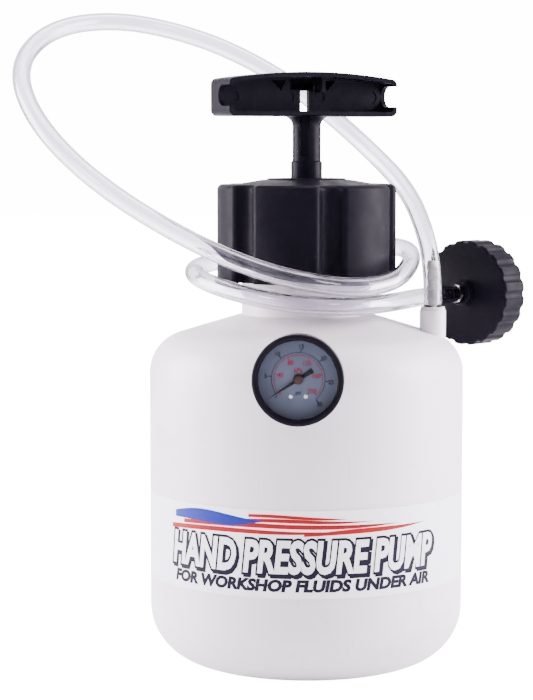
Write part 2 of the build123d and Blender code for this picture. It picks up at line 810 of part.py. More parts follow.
with BuildPart() as adapter_cap:
    with BuildSketch(cap_plane(-CAP_DEPTH)):
        Circle(CAP_R)
        with PolarLocations(CAP_R - 1.0 + SCALLOP_R, SCALLOPS):
            Circle(SCALLOP_R, mode=Mode.SUBTRACT)
    extrude(amount=CAP_DEPTH)
    outer_rim = adapter_cap.faces().sort_by(CAP_AXIS)[-1].edges()
    fillet(outer_rim, radius=1.2)
    with BuildSketch(cap_plane(-CAP_DEPTH)):
        Circle(CAP_THREAD_R)
    extrude(amount=CAP_DEPTH - CAP_PLATE, mode=Mode.SUBTRACT)
    with BuildSketch(cap_plane(-CAP_PLATE - CAP_GROOVE)):
        Circle(CAP_GROOVE_R)
    extrude(amount=CAP_GROOVE, mode=Mode.SUBTRACT)
    with BuildSketch(cap_plane(-CAP_DEPTH)):
        Circle(ADAPTER_SHANK_R + RUNNING_FIT)
    extrude(amount=CAP_DEPTH + 1, mode=Mode.SUBTRACT)

adapter_cap.part.label = "adapter_cap"
export_step(adapter_cap.part, "parts/adapter_cap.step")

with BuildPart() as adapter_gasket:
    with BuildSketch(cap_plane(-CAP_PLATE - 1.5)):
        Circle(CAP_GROOVE_R - RUNNING_FIT)
        Circle(14, mode=Mode.SUBTRACT)
    extrude(amount=1.5)

adapter_gasket.part.label = "adapter_gasket"
export_step(adapter_gasket.part, "parts/adapter_gasket.step")

with BuildPart() as adapter_fitting:
    with BuildSketch(CAP_SECTION):
        points = barb_outline(1.7, 2.7, BARB_R, HUB_LENGTH, HUB_LENGTH + 25, 4)
        Polygon(
            *points,
            (HUB_R - 0.8, HUB_LENGTH),
            (HUB_R, HUB_LENGTH - 0.8),
            (HUB_R, 0.1),
            (ADAPTER_SHANK_R, 0.1),
            (ADAPTER_SHANK_R, ADAPTER_SHANK_END),
            (1.7, ADAPTER_SHANK_END),
            align=None,
        )
    revolve(axis=CAP_AXIS)

adapter_fitting.part.label = "adapter_fitting"
export_step(adapter_fitting.part, "parts/adapter_fitting.step")

with BuildPart() as adapter_nut:
    with BuildSketch(cap_plane(-CAP_PLATE - ADAPTER_NUT - 0.1)):
        RegularPolygon(hexagon_radius(14), 6)
        Circle(ADAPTER_SHANK_R + 0.03, mode=Mode.SUBTRACT)
    extrude(amount=ADAPTER_NUT)

adapter_nut.part.label = "adapter_nut"
export_step(adapter_nut.part, "parts/adapter_nut.step")

# ---- Hose ----

hose_end = CAP_CENTRE + CAP_OUT * HUB_LENGTH
hose_lead = CAP_CENTRE + CAP_OUT * (HUB_LENGTH + 30)
HOSE_ROUTE = [
    (OUTLET_X, OUTLET_Y, HOSE_START_Z),
    (66, -3, 203),
    (62.5, 2.9, 223.9),
    (52.9, 19.4, 247),
    (30, 54, 270),
    (2, 68, 294),
    (-28, 77, 314),
    (-63, 80, 330),
    (-105, 64, 339),
    (-138, 33, 333),
    (-151, -5, 312),
    (-138, -37, 284),
    (-107, -56, 254),
    (-62, -66, 226),
    (-18, -68, 207),
    (23, -60, 199),
    (46, -40, 201),
    (55.5, -9, 210),
    (53.5, 22, 216),
    (34, 47, 216),
    (4, 59, 213),
    (-28, 54, 210),
    (-52, 33, 207),
    (-61, 2, 205),
    (-53, -27, 201),
    (-30, -47, 195),
    (0, -55, 190.5),
    (29, -45.5, 189.5),
    (47, -19, 190),
    tuple(hose_lead),
    tuple(hose_end),
]


def corner_radii(route):
    """Radius of the largest arc that each corner's two runs allow."""
    radii = []
    for before, corner, after in zip(route, route[1:], route[2:]):
        run_in = Vector(*corner) - Vector(*before)
        run_out = Vector(*after) - Vector(*corner)
        half_turn = math.radians(run_in.get_angle(run_out)) / 2
        radii.append(0.49 * min(run_in.length, run_out.length) / math.tan(half_turn))
    return radii


hose_radii = corner_radii(HOSE_ROUTE)
with BuildPart() as hose:
    with BuildLine() as hose_path:
        FilletPolyline(*HOSE_ROUTE, radius=hose_radii)
    with BuildSketch(Plane(origin=hose_path.line @ 0, z_dir=hose_path.line % 0)):
        Circle(HOSE_R)
        Circle(HOSE_BORE_R, mode=Mode.SUBTRACT)
    sweep(path=hose_path.line)

hose.part.label = "hose"
export_step(hose.part, "parts/hose.step")

hose_length = hose_path.wire().length
hose_section = math.pi * (HOSE_R**2 - HOSE_BORE_R**2)
print("hose radii", [round(radius) for radius in hose_radii])
print("hose length", round(hose_length), "volume ratio", hose.part.volume / (hose_section * hose_length))
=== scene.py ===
import json
import math

import bmesh
import bpy
from mathutils import Matrix, Vector


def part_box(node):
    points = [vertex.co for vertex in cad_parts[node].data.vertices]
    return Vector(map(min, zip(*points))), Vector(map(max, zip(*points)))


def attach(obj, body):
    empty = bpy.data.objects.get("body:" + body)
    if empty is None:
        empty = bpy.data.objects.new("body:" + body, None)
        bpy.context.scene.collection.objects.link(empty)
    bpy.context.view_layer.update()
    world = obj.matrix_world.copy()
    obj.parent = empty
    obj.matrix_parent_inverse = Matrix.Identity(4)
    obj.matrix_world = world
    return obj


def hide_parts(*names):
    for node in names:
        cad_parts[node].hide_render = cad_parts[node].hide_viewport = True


bl_info = {
    "name": "Hand Pump Tank",
    "version": (1, 0, 0),
    "blender": (4, 5, 0),
    "location": "3D View > Sidebar > Pump Tank",
    "description": "Dresses a hand-pumped pressure tank: plastics, gauge, label, hose and studio",
    "category": "Object",
}

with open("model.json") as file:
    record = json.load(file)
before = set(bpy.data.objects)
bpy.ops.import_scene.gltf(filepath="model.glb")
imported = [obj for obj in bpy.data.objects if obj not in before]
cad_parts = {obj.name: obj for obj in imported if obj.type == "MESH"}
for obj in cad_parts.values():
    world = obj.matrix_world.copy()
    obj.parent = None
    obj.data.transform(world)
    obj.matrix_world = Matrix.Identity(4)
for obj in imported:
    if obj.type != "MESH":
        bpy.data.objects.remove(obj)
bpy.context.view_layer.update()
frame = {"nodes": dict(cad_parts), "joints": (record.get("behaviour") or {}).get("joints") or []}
NODES = frame["nodes"]
MM = 0.001

# Places that follow from the frame
TANK_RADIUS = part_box("tank")[1][0]
LABEL_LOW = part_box("tank_label")[0]
DIAL_LOW, DIAL_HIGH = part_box("gauge_dial")
NEEDLE_LOW, NEEDLE_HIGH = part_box("gauge_needle")
LABEL_RADIUS = -LABEL_LOW[1]
GAUGE_CENTRE = Vector((0, DIAL_LOW[1], (DIAL_LOW[2] + DIAL_HIGH[2]) / 2))


def joint_named(name):
    """The frame's joint of that name."""
    return next(joint for joint in frame["joints"] if joint["name"] == name)


ADAPTER_FACE = Vector(joint_named("adapter_swivel")["pos_m"])
ADAPTER_OUT = Vector(joint_named("adapter_swivel")["axis"]).normalized()


# ---- Settings ----

def distance(name, description, default):
    """A setting that is a length in metres."""
    return bpy.props.FloatProperty(
        name=name, description=description, default=default, subtype="DISTANCE", unit="LENGTH")


def turn_angle(name, description, default):
    """A setting that is an angle in radians."""
    return bpy.props.FloatProperty(
        name=name, description=description, default=default, subtype="ANGLE", unit="ROTATION")


def tint_colour(name, description, default):
    """A setting that is a linear colour."""
    return bpy.props.FloatVectorProperty(
        name=name, description=description, default=default, subtype="COLOR", size=3)


class StageSettings(bpy.types.PropertyGroup):
    """Camera, floor and lamps."""

    camera_distance: distance("Camera distance", "From the tank's axis to the camera", 1.149)
    camera_height: distance("Camera height", "Height of the camera above the floor", 0.2717)
    camera_azimuth: turn_angle(
        "Camera azimuth",
        "Turn of the camera round the tank, towards the hose outlet", math.radians(2.07))
    camera_pitch: turn_angle("Camera pitch", "How far the camera looks down", math.radians(5.4))
    camera_yaw: turn_angle(
        "Camera yaw", "How far the camera looks to the left of the tank's axis", math.radians(1.04))
    lens: bpy.props.FloatProperty(
        name="Lens", description="Focal length in millimetres on a 36 mm sensor", default=113.1)
    floor_size: distance("Floor size", "Side of the square floor", 14.0)
    floor_colour: tint_colour("Floor colour", "Pale studio floor", (0.93, 0.93, 0.94))
    key_power: bpy.props.FloatProperty(
        name="Key power", description="Power of each soft box in watts", default=26.0)
    front_glow: bpy.props.FloatProperty(
        name="Front glow", description="Brightness of the surroundings behind the camera",
        default=0.20)
    back_glow: bpy.props.FloatProperty(
        name="Back glow", description="Brightness of the surroundings behind the object",
        default=2.2)
    backdrop: bpy.props.FloatProperty(
        name="Backdrop", description="Brightness of the backdrop and floor as the camera sees them",
        default=16.0)
    through_glow: bpy.props.FloatProperty(
        name="Glow through plastic",
        description="Brightness of the backdrop as seen through clear plastic",
        default=4.5)


class PlasticSettings(bpy.types.PropertyGroup):
    """Colours of the moulded plastics."""

    tank_colour: tint_colour("Tank", "Translucent blow-moulded tank", (0.80, 0.75, 0.79))
    black_colour: tint_colour("Black", "Collar, handle, rod and fittings", (0.0046, 0.0038, 0.0075))
    natural_colour: tint_colour("Natural", "Uncoloured barrel and valve parts", (0.62, 0.61, 0.58))


class LabelSettings(bpy.types.PropertyGroup):
    """Print on the wrap label."""

    ink_colour: tint_colour("Ink", "Dark lettering", (0.005, 0.004, 0.014))
    red_colour: tint_colour("Red", "Red ribbons", (0.30, 0.003, 0.007))
    blue_colour: tint_colour("Blue", "Blue wave", (0.010, 0.018, 0.22))
    title: bpy.props.StringProperty(
        name="Title", description="Large generic line", default="HAND PRESSURE PUMP")
    note: bpy.props.StringProperty(
        name="Note", description="Small generic line", default="FOR WORKSHOP FLUIDS UNDER AIR")
    print_height: distance(
        "Print height", "How far each layer of print stands off the last", 0.04 * MM)


class GaugeSettings(bpy.types.PropertyGroup):
    """Scales, numbers and needle of the gauge."""

    zero_angle: turn_angle(
        "Zero angle", "Where the scale starts, counted from the right", math.radians(219))
    needle_angle: turn_angle(
        "Needle angle", "Where the needle rests, counted from the right", math.radians(213))
    psi_step: turn_angle("Turn per psi", "Turn of the needle for one psi", math.radians(8.95))
    psi_per_kpa: bpy.props.FloatProperty(
        name="psi per kPa", description="Ratio of the two scales", default=0.14504)
    psi_radius: distance("psi arc", "Radius of the outer scale", 12.8 * MM)
    kpa_radius: distance("kPa arc", "Radius of the inner scale", 11.7 * MM)
    # The dial itself is white; this blue-grey is painted shade for the dim light it sits in under
    # the window.
    dial_colour: tint_colour("Dial", "Blue-grey dial paint", (0.110, 0.130, 0.185))
    red_colour: tint_colour("Red print", "Inner scale", (0.22, 0.004, 0.022))


class HoseSettings(bpy.types.PropertyGroup):
    """Clear hose."""

    outer_radius: distance("Outer radius", "Outside of the hose", 4.75 * MM)
    bore_radius: distance("Bore radius", "Inside of the hose", 3.2 * MM)
    tint: tint_colour("Tint", "Faint violet tint of the clear vinyl", (0.86, 0.845, 0.92))
    steps: bpy.props.IntProperty(
        name="Steps", description="Rings of the tube for each point of its route", default=14)
    sides: bpy.props.IntProperty(
        name="Sides", description="Faces round the tube", default=28)


# ---- Mesh and node helpers ----

def mesh_object(name, mesh, body=None):
    """A new object for a mesh, riding on a CAD body if one is given."""
    piece = bpy.data.objects.new(name, mesh)
    bpy.context.scene.collection.objects.link(piece)
    if body:
        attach(piece, body)
    return piece


def mesh_from_bmesh(name, shape, smooth=True):
    """Turns a bmesh into a mesh and frees it."""
    mesh = bpy.data.meshes.new(name)
    shape.to_mesh(mesh)
    shape.free()
    for polygon in mesh.polygons:
        polygon.use_smooth = smooth
    return mesh


def band(shape, first, second):
    """Quads between two closed rings of vertices."""
    for step in range(len(first)):
        after = (step + 1) % len(first)
        shape.faces.new((first[step], first[after], second[after], second[step]))


def dress(material, *names):
    """Gives a material to CAD nodes."""
    for name in names:
        NODES[name].data.materials.clear()
        NODES[name].data.materials.append(material)


def node_group(name, inputs, outputs):
    """An empty shader node group with named sockets: (group, input node, output node)."""
    group = bpy.data.node_groups.new(name, "ShaderNodeTree")
    for label, kind, value in inputs:
        socket = group.interface.new_socket(label, in_out="INPUT", socket_type=kind)
        if value is not None:
            socket.default_value = value
    for label, kind in outputs:
        group.interface.new_socket(label, in_out="OUTPUT", socket_type=kind)
    return group, group.nodes.new("NodeGroupInput"), group.nodes.new("NodeGroupOutput")


def feed(tree, node, **values):
    """Links or sets a node's inputs, each by index (i0, i1) or by name with _ for a space."""
    for key, value in values.items():
        by_index = key[0] == "i" and key[1:].isdigit()
        socket = node.inputs[int(key[1:]) if by_index else key.replace("_", " ")]
        if isinstance(value, bpy.types.NodeSocket):
            tree.links.new(value, socket)
        else:
            socket.default_value = value


def add(tree, kind, operation=None, **values):
    """Adds a node, sets its operation, and feeds its inputs."""
    node = tree.nodes.new(kind)
    if operation:
        node.operation = operation
    feed(tree, node, **values)
    return node


def calculate(tree, operation, *terms):
    """One step of arithmetic on sockets and numbers: its output."""
    values = {f"i{place}": term for place, term in enumerate(terms)}
    return add(tree, "ShaderNodeMath", operation, **values).outputs[0]


def ramp_between(tree, source, low, high, start, end):
    """Maps a value from low..high to start..end, clamped."""
    node = add(
        tree, "ShaderNodeMapRange", Value=source, From_Min=low, From_Max=high,
        To_Min=start, To_Max=end)
    return node.outputs["Result"]


def mix_colour(tree, factor, first, second):
    """Mixes two colours, each a socket or a constant, by a factor socket."""
    node = tree.nodes.new("ShaderNodeMix")
    node.data_type = "RGBA"
    colours = [
        colour if isinstance(colour, bpy.types.NodeSocket) else (*colour, 1)
        for colour in (first, second)
    ]
    feed(tree, node, Factor=factor, i6=colours[0], i7=colours[1])
    return node.outputs[2]


def placed_group(tree, group, **values):
    """A shader node group placed in a material, with its inputs fed."""
    node = tree.nodes.new("ShaderNodeGroup")
    node.node_tree = group
    feed(tree, node, **values)
    return node


def moulded_group():
    """Fine spark-eroded grain and slow changes of gloss, as on any moulded plastic."""
    name = "Moulded grain"
    if name in bpy.data.node_groups:
        return bpy.data.node_groups[name]
    group, start, end = node_group(
        name,
        [
            ("Vector", "NodeSocketVector", None),
            ("Grain", "NodeSocketFloat", 1400.0),
            ("Patches", "NodeSocketFloat", 60.0),
            ("Smooth", "NodeSocketFloat", 0.3),
            ("Rough", "NodeSocketFloat", 0.45),
        ],
        [("Roughness", "NodeSocketFloat"), ("Height", "NodeSocketFloat")],
    )
    where = start.outputs["Vector"]
    grain = add(
        group, "ShaderNodeTexNoise", Vector=where, Scale=start.outputs["Grain"],
        Detail=3.0, Roughness=0.6)
    patches = add(
        group, "ShaderNodeTexNoise", Vector=where, Scale=start.outputs["Patches"],
        Detail=4.0, Roughness=0.55)
    gloss = ramp_between(
        group, patches.outputs["Fac"], 0.35, 0.65, start.outputs["Smooth"], start.outputs["Rough"])
    slow = calculate(group, "MULTIPLY", patches.outputs["Fac"], 0.4)
    height = calculate(group, "ADD", grain.outputs["Fac"], slow)
    feed(group, end, Roughness=gloss, Height=height)
    return group


def marks_group():
    """Specks, rubbed smudges and hairline scratches from handling, over a base colour."""
    name = "Handling marks"
    if name in bpy.data.node_groups:
        return bpy.data.node_groups[name]
    group, start, end = node_group(
        name,
        [
            ("Vector", "NodeSocketVector", None),
            ("Base", "NodeSocketColor", (0.5, 0.5, 0.5, 1)),
            ("Mark", "NodeSocketColor", (0.3, 0.3, 0.3, 1)),
            ("Speck scale", "NodeSocketFloat", 160.0),
            ("Smudge scale", "NodeSocketFloat", 22.0),
            ("Amount", "NodeSocketFloat", 0.5),
        ],
        [("Color", "NodeSocketColor"), ("Mask", "NodeSocketFloat")],
    )
    where = start.outputs["Vector"]
    specks = add(
        group, "ShaderNodeTexVoronoi", Vector=where, Scale=start.outputs["Speck scale"],
        Randomness=1.0)
    dots = ramp_between(group, specks.outputs["Distance"], 0.05, 0.14, 1.0, 0.0)
    chosen = add(group, "ShaderNodeSeparateColor", Color=specks.outputs["Color"])
    rare = ramp_between(group, chosen.outputs["Red"], 0.9, 0.96, 0.0, 1.0)
    few = calculate(group, "MULTIPLY", dots, rare)
    smudge = add(
        group, "ShaderNodeTexNoise", Vector=where, Scale=start.outputs["Smudge scale"],
        Detail=6.0, Roughness=0.65, Distortion=0.6)
    rubbed = ramp_between(group, smudge.outputs["Fac"], 0.56, 0.78, 0.0, 0.55)
    stretched = add(
        group, "ShaderNodeMapping", Vector=where, Scale=(1.0, 1.0, 0.06), Rotation=(0.5, 0.3, 0.2))
    scratch = add(
        group, "ShaderNodeTexNoise", Vector=stretched.outputs["Vector"], Scale=420.0, Detail=2.0)
    hairs = ramp_between(group, scratch.outputs["Fac"], 0.68, 0.74, 0.0, 0.35)
    marks = calculate(group, "MAXIMUM", calculate(group, "MAXIMUM", few, rubbed), hairs)
    mask = calculate(group, "MULTIPLY", marks, start.outputs["Amount"])
    colour = mix_colour(group, mask, start.outputs["Base"], start.outputs["Mark"])
    feed(group, end, Mask=mask, Color=colour)
    return group


def principled(name, **values):
    """A material with its tree, Principled shader and object coordinates."""
    material = bpy.data.materials.new(name)
    material.use_nodes = True
    tree = material.node_tree
    shader = tree.nodes["Principled BSDF"]
    feed(tree, shader, **values)
    where = tree.nodes.new("ShaderNodeTexCoord").outputs["Object"]
    return material, tree, shader, where


def finish_surface(
        tree, shader, where, base, mark, grain, patches, gloss, bump, marks, speck_scale=160.0):
    """Joins the grain and marks groups to a Principled shader. gloss is (smoothest, roughest)."""
    moulded = placed_group(
        tree, moulded_group(), Vector=where, Grain=grain, Patches=patches,
        Smooth=gloss[0], Rough=gloss[1])
    relief = add(
        tree, "ShaderNodeBump", Strength=bump, Distance=GRAIN_DEPTH,
        Height=moulded.outputs["Height"])
    handled = placed_group(
        tree, marks_group(), Vector=where, Base=(*base, 1), Mark=(*mark, 1), Amount=marks,
        Speck_scale=speck_scale)
    feed(
        tree, shader, Roughness=moulded.outputs["Roughness"], Normal=relief.outputs["Normal"],
        Base_Color=handled.outputs["Color"])
    return relief


# ---- Materials ----

GRAIN_DEPTH = 0.2 * MM
SHEET_WAVE_DEPTH = 0.4 * MM
HOSE_WAVE_DEPTH = 0.6 * MM


def tank_plastic(colour):
    """Milky blow-moulded polyethylene: light goes in and scatters, with a few scuffs."""
    material, tree, shader, where = principled(
        "tank_polyethylene", IOR=1.5, Subsurface_Weight=0.35, Subsurface_Scale=0.006,
        Subsurface_Radius=(1.0, 0.85, 0.75), Coat_Weight=0.12, Coat_Roughness=0.3)
    finish_surface(
        tree, shader, where, colour, (0.27, 0.235, 0.265), 700.0, 30.0, (0.34, 0.47), 0.10, 0.5,
        speck_scale=95.0)
    return material


def black_plastic(name, colour, gloss, grain=1300.0, bump=0.16, marks=0.22):
    """Black moulded nylon with a satin face."""
    material, tree, shader, where = principled(name, IOR=1.5, Specular_IOR_Level=0.04)
    scuff = (0.03, 0.03, 0.037)
    finish_surface(tree, shader, where, colour, scuff, grain, 90.0, gloss, bump, marks)
    return material


def natural_plastic(name, colour):
    """Uncoloured polypropylene of the barrel and valve parts."""
    material, tree, shader, where = principled(
        name, IOR=1.49, Subsurface_Weight=0.3, Subsurface_Scale=0.004)
    finish_surface(
        tree, shader, where, colour, (0.42, 0.40, 0.36), 900.0, 60.0, (0.30, 0.42), 0.10, 0.35)
    return material


def rubber(name):
    """Black nitrile rubber with a bloom."""
    material, tree, shader, where = principled(name, IOR=1.52, Specular_IOR_Level=0.35)
    bloom = (0.09, 0.09, 0.085)
    finish_surface(
        tree, shader, where, (0.020, 0.019, 0.019), bloom, 1800.0, 120.0, (0.6, 0.8), 0.25, 0.5)
    return material


def metal(name, colour, gloss, marks=0.3):
    """Turned or stamped metal with fine tool marks and tarnish."""
    material, tree, shader, where = principled(name, Metallic=1.0)
    dark = tuple(channel * 0.45 for channel in colour)
    finish_surface(tree, shader, where, colour, dark, 2400.0, 160.0, gloss, 0.12, marks)
    return material


def print_ink(name, colour, roughness=0.35):
    """Screen-printed ink with slightly uneven cover."""
    material, tree, shader, where = principled(name, IOR=1.5, Specular_IOR_Level=0.12)
    light = tuple(min(1.0, channel * 1.35 + 0.01) for channel in colour)
    gloss = (roughness, roughness + 0.12)
    finish_surface(tree, shader, where, colour, light, 1600.0, 300.0, gloss, 0.04, 0.35)
    return material


def vinyl_sheet():
    """White gloss vinyl of the wrap label, with faint waves from being laid by hand."""
    material, tree, shader, where = principled(
        "label_vinyl", IOR=1.5, Coat_Weight=0.25, Coat_Roughness=0.12)
    relief = finish_surface(
        tree, shader, where, (0.87, 0.86, 0.91), (0.66, 0.65, 0.70), 500.0, 26.0,
        (0.24, 0.36), 0.06, 0.25)
    feed(tree, relief, Distance=SHEET_WAVE_DEPTH)
    return material


def dial_paint(colour):
    """White dial given a blue-grey colour as painted shade, with more painted shade towards the rim
    where the bezel shades it, under a fine tooth.
    """
    material, tree, shader, where = principled("dial_paint", IOR=1.5, Specular_IOR_Level=0.12)
    centred = add(tree, "ShaderNodeMapping", Vector=where, Location=-GAUGE_CENTRE)
    reach = add(tree, "ShaderNodeVectorMath", "LENGTH", i0=centred.outputs["Vector"])
    # Painted shade: the dial's colour darkens towards its rim, where the bezel shades it.
    rim_shade_mask = ramp_between(tree, reach.outputs["Value"], 6 * MM, 19 * MM, 0.0, 1.0)
    finish_surface(
        tree, shader, where, colour, (0.08, 0.09, 0.12), 1500.0, 200.0, (0.42, 0.55), 0.05, 0.3)
    handled = shader.inputs["Base Color"].links[0].from_socket
    rim_shade_colour = tuple(channel * 0.78 for channel in colour)
    feed(tree, shader, Base_Color=mix_colour(tree, rim_shade_mask, handled, rim_shade_colour))
    return material


def clear_vinyl(tint):
    """Clear flexible hose: glassy, faintly violet, with slight waves from the die."""
    material, tree, shader, where = principled(
        "clear_vinyl", Roughness=0.04, IOR=1.5, Transmission_Weight=1.0, Metallic=0.0,
        Base_Color=(*tint, 1))
    wave = add(tree, "ShaderNodeTexNoise", Vector=where, Scale=55.0, Detail=2.0)
    relief = add(
        tree, "ShaderNodeBump", Strength=0.25, Distance=HOSE_WAVE_DEPTH, Height=wave.outputs["Fac"])
    haze = ramp_between(tree, wave.outputs["Fac"], 0.3, 0.7, 0.03, 0.09)
    feed(tree, shader, Normal=relief.outputs["Normal"], Roughness=haze)
    return material


def window_plastic():
    """Clear polycarbonate gauge window with the odd hairline, bloomed so that it hardly mirrors."""
    material, tree, shader, where = principled(
        "gauge_window", IOR=1.15, Transmission_Weight=1.0, Metallic=0.0,
        Base_Color=(0.97, 0.98, 1.0, 1))
    hair = add(tree, "ShaderNodeTexNoise", Vector=where, Scale=260.0, Detail=5.0)
    feed(tree, shader, Roughness=ramp_between(tree, hair.outputs["Fac"], 0.6, 0.8, 0.0, 0.012))
    return material


# ---- Stage ----

STUDIO_TINT = (1.0, 0.93, 0.99)
WORLD_TINT = (0.985, 0.93, 1.0, 1)

def seen_directly(tree, ray):
    """1 for that kind of ray while it has not been scattered or mirrored, otherwise 0."""
    path = tree.nodes.new("ShaderNodeLightPath")
    seen = path.outputs[ray]
    for bounces in ("Diffuse Depth", "Glossy Depth"):
        unscattered = calculate(tree, "LESS_THAN", path.outputs[bounces], 0.5)
        seen = calculate(tree, "MULTIPLY", seen, unscattered)
    return seen


class PUMPTANK_OT_stage(bpy.types.Operator):
    """Make the floor, the lamps and the camera"""

    bl_idname = "pumptank.stage"
    bl_label = "Studio"

    def execute(self, context):
        settings = context.scene.pumptank_stage
        self.make_floor(settings)
        self.make_world(context, settings)
        self.make_lamps(settings)
        self.make_camera(context, settings)
        return {"FINISHED"}

    def make_floor(self, settings):
        """A large pale floor under the object."""
        shape = bmesh.new()
        bmesh.ops.create_grid(shape, x_segments=2, y_segments=2, size=settings.floor_size / 2)
        floor = mesh_object("studio_floor", mesh_from_bmesh("studio_floor", shape, smooth=False))
        material, tree, shader, where = principled("studio_paper", Roughness=0.8)
        soft = add(tree, "ShaderNodeTexNoise", Vector=where, Scale=3.0, Detail=2.0)
        paper = tuple(settings.floor_colour)
        paler = tuple(min(1.0, channel + 0.02) for channel in paper)
        through = ramp_between(
            tree, seen_directly(tree, "Is Transmission Ray"), 0.0, 1.0, 0.0, settings.through_glow)
        glow = ramp_between(
            tree, seen_directly(tree, "Is Camera Ray"), 0.0, 1.0, through, settings.backdrop)
        feed(
            tree, shader, Base_Color=mix_colour(tree, soft.outputs["Fac"], paper, paler),
            Emission_Color=(1, 1, 1, 1), Emission_Strength=glow)
        floor.data.materials.append(material)

    def make_world(self, context, settings):
        """White surroundings, dimmer in front of the object than behind it."""
        world = bpy.data.worlds.new("studio")
        world.use_nodes = True
        tree = world.node_tree
        way = add(
            tree, "ShaderNodeSeparateXYZ",
            Vector=tree.nodes.new("ShaderNodeTexCoord").outputs["Generated"])
        glow = ramp_between(
            tree, way.outputs["Y"], -0.45, 0.35, settings.front_glow, settings.back_glow)
        behind = calculate(tree, "GREATER_THAN", way.outputs["Y"], 0.6)
        refracted = calculate(tree, "MULTIPLY", seen_directly(tree, "Is Transmission Ray"), behind)
        through = ramp_between(tree, refracted, 0.0, 1.0, glow, settings.through_glow)
        strength = ramp_between(
            tree, seen_directly(tree, "Is Camera Ray"), 0.0, 1.0, through, settings.backdrop)
        feed(tree, tree.nodes["Background"], Color=WORLD_TINT, Strength=strength)
        context.scene.world = world

    def make_lamps(self, settings):
        """Soft boxes in front and at both sides, and a wide one above."""
        aim = Vector((0, 0, 0.17))
        for name, place, size, share in (
            ("soft_box_left", (-0.62, -0.95, 0.78), 0.24, 0.18),
            ("soft_box_right", (0.70, -0.90, 0.78), 0.24, 0.18),
            ("side_box_left", (-1.30, 0.10, 0.45), 0.9, 3.2),
            ("side_box_right", (1.30, 0.10, 0.45), 0.9, 3.2),
            ("soft_box_top", (0.0, 0.35, 1.5), 0.9, 0.8),
        ):
            lamp = bpy.data.lights.new(name, "AREA")
            lamp.shape = "RECTANGLE"
            lamp.color = STUDIO_TINT
            lamp.size = size
            lamp.size_y = size * 1.3
            lamp.energy = settings.key_power * share
            lit = bpy.data.objects.new(name, lamp)
            lit.location = place
            lit.rotation_euler = (aim - Vector(place)).to_track_quat("-Z", "Y").to_euler()
            bpy.context.scene.collection.objects.link(lit)

    def make_camera(self, context, settings):
        """A long lens level with the handle, looking a little down and to the left."""
        lens = bpy.data.cameras.new("camera")
        lens.lens = settings.lens
        lens.sensor_width = 36
        lens.clip_end = 50
        camera = bpy.data.objects.new("camera", lens)
        camera.location = (
            settings.camera_distance * math.sin(settings.camera_azimuth),
            -settings.camera_distance * math.cos(settings.camera_azimuth),
            settings.camera_height,
        )
        camera.rotation_euler = (
            math.pi / 2 - settings.camera_pitch, 0, settings.camera_azimuth + settings.camera_yaw)
        context.scene.collection.objects.link(camera)
        context.scene.camera = camera


# ---- Hose ----

# Control points of the hose's line, in metres, from the shoulder outlet to the adapter's hub.
HOSE_ROUTE = [
    (0.066, -0.003, 0.1864),
    (0.066, -0.003, 0.203),
    (0.0625, 0.0029, 0.2239),
    (0.0529, 0.0194, 0.247),
    (0.030, 0.054, 0.270),
    (0.002, 0.068, 0.294),
    (-0.028, 0.077, 0.314),
    (-0.063, 0.080, 0.330),
    (-0.105, 0.064, 0.339),
    (-0.138, 0.033, 0.333),
    (-0.151, -0.005, 0.312),
    (-0.138, -0.037, 0.284),
    (-0.107, -0.056, 0.254),
    (-0.062, -0.066, 0.226),
    (-0.018, -0.068, 0.207),
    (0.023, -0.060, 0.199),
    (0.046, -0.040, 0.201),
    (0.0555, -0.009, 0.210),
    (0.0535, 0.022, 0.216),
    (0.034, 0.047, 0.216),
    (0.004, 0.059, 0.213),
    (-0.028, 0.054, 0.210),
    (-0.052, 0.033, 0.2075),
    (-0.061, 0.002, 0.205),
    (-0.053, -0.027, 0.201),
    (-0.030, -0.047, 0.195),
    (0.0, -0.055, 0.1905),
    (0.029, -0.0455, 0.1895),
    (0.047, -0.019, 0.190),
    tuple(ADAPTER_FACE + ADAPTER_OUT * 0.0345),
    tuple(ADAPTER_FACE + ADAPTER_OUT * 0.0045),
]


def smooth_line(points, steps):
    """Points along one NURBS spline through the route's control points."""
    curve = bpy.data.curves.new("hose_line", "CURVE")
    curve.dimensions = "3D"
    spline = curve.splines.new("NURBS")
    spline.points.add(len(points) - 1)
    for control, point in zip(spline.points, points):
        control.co = (*point, 1)
    spline.order_u = 3
    spline.use_endpoint_u = True
    spline.resolution_u = steps
    holder = bpy.data.objects.new("hose_line", curve)
    mesh = bpy.data.meshes.new_from_object(holder)
    line = [vertex.co.copy() for vertex in mesh.vertices]
    bpy.data.objects.remove(holder)
    bpy.data.curves.remove(curve)
    bpy.data.meshes.remove(mesh)
    return line


def cross_frames(line):
    """(point, side, up) along a line, turned as little as possible from one point to the next."""
    ways = []
    for index in range(len(line)):
        before = line[max(0, index - 1)]
        after = line[min(len(line) - 1, index + 1)]
        ways.append((after - before).normalized())
    side = ways[0].orthogonal().normalized()
    frames = []
    for index, way in enumerate(ways):
        if index:
            side = ways[index - 1].rotation_difference(way) @ side
        side = (side - way * side.dot(way)).normalized()
        frames.append((line[index], side, way.cross(side)))
    return frames


